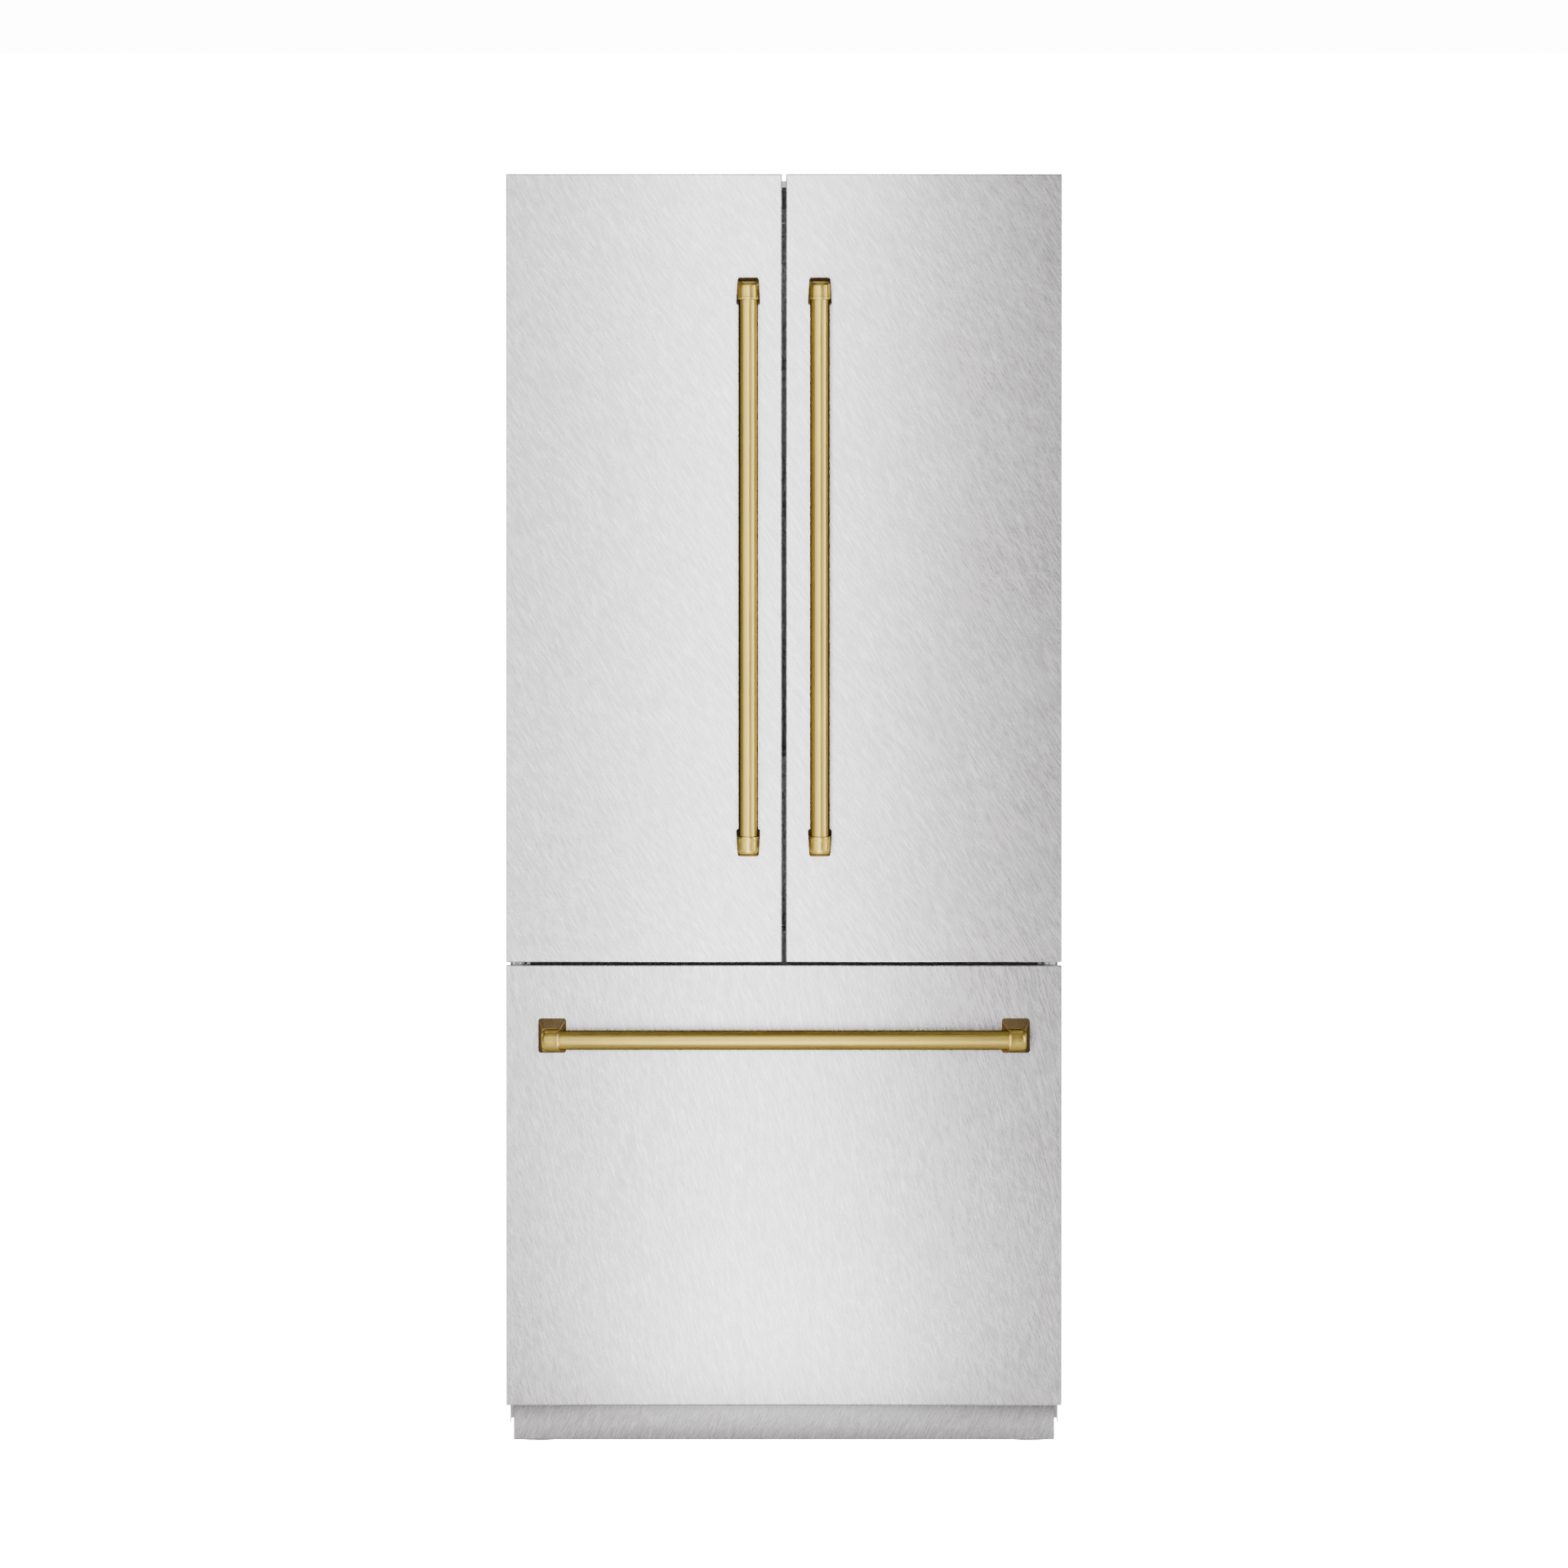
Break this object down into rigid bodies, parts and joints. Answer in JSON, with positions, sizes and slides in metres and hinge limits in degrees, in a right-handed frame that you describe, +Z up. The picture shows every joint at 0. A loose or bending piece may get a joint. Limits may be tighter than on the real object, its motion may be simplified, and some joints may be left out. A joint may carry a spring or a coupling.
{
  "type": "french door refrigerator",
  "caption": "Refrigerator with a pair of hinged upper doors over a full-width freezer drawer, with round bar handles on square posts.",
  "frame": {"origin": "on the floor, in the middle of the width and of the depth over the handles", "axes": "+X to the right seen from the front, +Y to the back, +Z up"},
  "size_m": [0.905, 0.702, 2.069],
  "materials": {
    "stainless": "satin",
    "bronze": "satin",
    "side_paint": "satin",
    "galvanised": "satin",
    "black_paint": "satin",
    "face_paint": "satin",
    "white_liner": "satin",
    "foam": "matte",
    "dark_plastic": "matte",
    "grey_plastic": "satin",
    "white_plastic": "gloss",
    "clear_plastic": "gloss",
    "seal_rubber": "matte",
    "shelf_glass": "gloss",
    "aluminium": "satin",
    "zinc_steel": "satin",
    "lamp_lens": "satin"
  },
  "bodies": {
    "cabinet": {"cabinet_shell": "side_paint", "back_panel": "galvanised", "machine_cover": "galvanised", "cabinet_foam": "foam", "fridge_liner": "white_liner", "freezer_liner": "white_liner", "front_frame": "face_paint", "top_trim": "dark_plastic", "base_frame": "galvanised", "toe_kick": "stainless", "compressor": "black_paint", "condenser_coil": "black_paint", "fan_shroud": "dark_plastic", "drain_pan": "grey_plastic", "water_valve": "grey_plastic", "power_inlet": "dark_plastic", "rear_duct": "white_liner", "led_lamps": "lamp_lens", "overhead_console": "grey_plastic", "shelf_tracks": "zinc_steel", "glass_shelves": "shelf_glass", "shelf_frames": "aluminium", "crisper_cover": "white_liner", "evaporator_cover": "white_liner", "evaporator": "aluminium", "ice_maker": "white_plastic", "rail_outer": "zinc_steel", "hinge_brackets": "zinc_steel", "cabinet_screws": "zinc_steel"},
    "left_door": {"left_panel": "stainless", "left_liner": "white_liner", "left_gasket": "seal_rubber", "left_bins": "clear_plastic", "left_handle_bar": "bronze", "left_handle_posts": "bronze"},
    "right_door": {"right_panel": "stainless", "right_liner": "white_liner", "right_gasket": "seal_rubber", "right_bins": "clear_plastic", "right_handle_bar": "bronze", "right_handle_posts": "bronze"},
    "flipper": {"flipper_mullion": "grey_plastic"},
    "freezer_drawer": {"drawer_panel": "stainless", "drawer_liner": "white_liner", "drawer_gasket": "seal_rubber", "drawer_handle_bar": "bronze", "drawer_handle_posts": "bronze", "drawer_frame": "zinc_steel", "lower_bin": "clear_plastic"},
    "slide_middle": {"rail_middle": "zinc_steel"},
    "tray": {"upper_tray": "clear_plastic"},
    "crisper_l": {"crisper_left": "clear_plastic"},
    "crisper_r": {"crisper_right": "clear_plastic"},
    "filter": {"water_filter": "white_plastic"},
    "ice_shutoff": {"ice_arm": "zinc_steel"},
    "condenser_rotor": {"condenser_fan": "dark_plastic"},
    "evaporator_rotor": {"evaporator_fan": "dark_plastic"},
    "rollers": {"rear_rollers": "dark_plastic"},
    "foot_l": {"foot_left": "zinc_steel"},
    "foot_r": {"foot_right": "zinc_steel"}
  },
  "joints": [
    {"name": "left_door_hinge", "type": "hinge", "parent": "cabinet", "child": "left_door", "pos_m": [-0.4305, -0.24, 1.4], "axis": [0, 0, -1], "range_deg": [0, 115]},
    {"name": "right_door_hinge", "type": "hinge", "parent": "cabinet", "child": "right_door", "pos_m": [0.4305, -0.24, 1.4], "axis": [0, 0, 1], "range_deg": [0, 115]},
    {"name": "flipper_hinge", "type": "hinge", "parent": "left_door", "child": "flipper", "pos_m": [-0.024, -0.192, 1.4], "axis": [0, 0, -1], "range_deg": [0, 90]},
    {"name": "drawer_slide", "type": "slide", "parent": "cabinet", "child": "freezer_drawer", "axis": [0, -1, 0], "range_m": [0, 0.45]},
    {"name": "middle_slide", "type": "slide", "parent": "cabinet", "child": "slide_middle", "axis": [0, -1, 0], "range_m": [0, 0.225]},
    {"name": "tray_slide", "type": "slide", "parent": "freezer_drawer", "child": "tray", "axis": [0, 1, 0], "range_m": [0, 0.115]},
    {"name": "crisper_left_slide", "type": "slide", "parent": "cabinet", "child": "crisper_l", "axis": [0, -1, 0], "range_m": [0, 0.1]},
    {"name": "crisper_right_slide", "type": "slide", "parent": "cabinet", "child": "crisper_r", "axis": [0, -1, 0], "range_m": [0, 0.1]},
    {"name": "filter_twist", "type": "hinge", "parent": "cabinet", "child": "filter", "pos_m": [0.3, 0, 1.948], "axis": [0, -1, 0], "range_deg": [0, 90]},
    {"name": "ice_arm_hinge", "type": "hinge", "parent": "cabinet", "child": "ice_shutoff", "pos_m": [-0.251, -0.005, 0.7], "axis": [1, 0, 0], "range_deg": [0, 30]},
    {"name": "condenser_fan_spin", "type": "hinge", "parent": "cabinet", "child": "condenser_rotor", "pos_m": [0.045, 0.245, 0.15], "axis": [1, 0, 0], "continuous": true},
    {"name": "evaporator_fan_spin", "type": "hinge", "parent": "cabinet", "child": "evaporator_rotor", "pos_m": [0, 0.218, 0.655], "axis": [0, 1, 0], "continuous": true},
    {"name": "roller_spin", "type": "hinge", "parent": "cabinet", "child": "rollers", "pos_m": [0, 0.3, 0.025], "axis": [1, 0, 0], "continuous": true},
    {"name": "foot_left_turn", "type": "hinge", "parent": "cabinet", "child": "foot_l", "pos_m": [-0.4, -0.15, 0.02], "axis": [0, 0, 1], "continuous": true},
    {"name": "foot_right_turn", "type": "hinge", "parent": "cabinet", "child": "foot_r", "pos_m": [0.4, -0.15, 0.02], "axis": [0, 0, 1], "continuous": true}
  ],
  "couplings": [
    {"joint": "middle_slide", "follows": "drawer_slide", "ratio": 0.5}
  ]
}
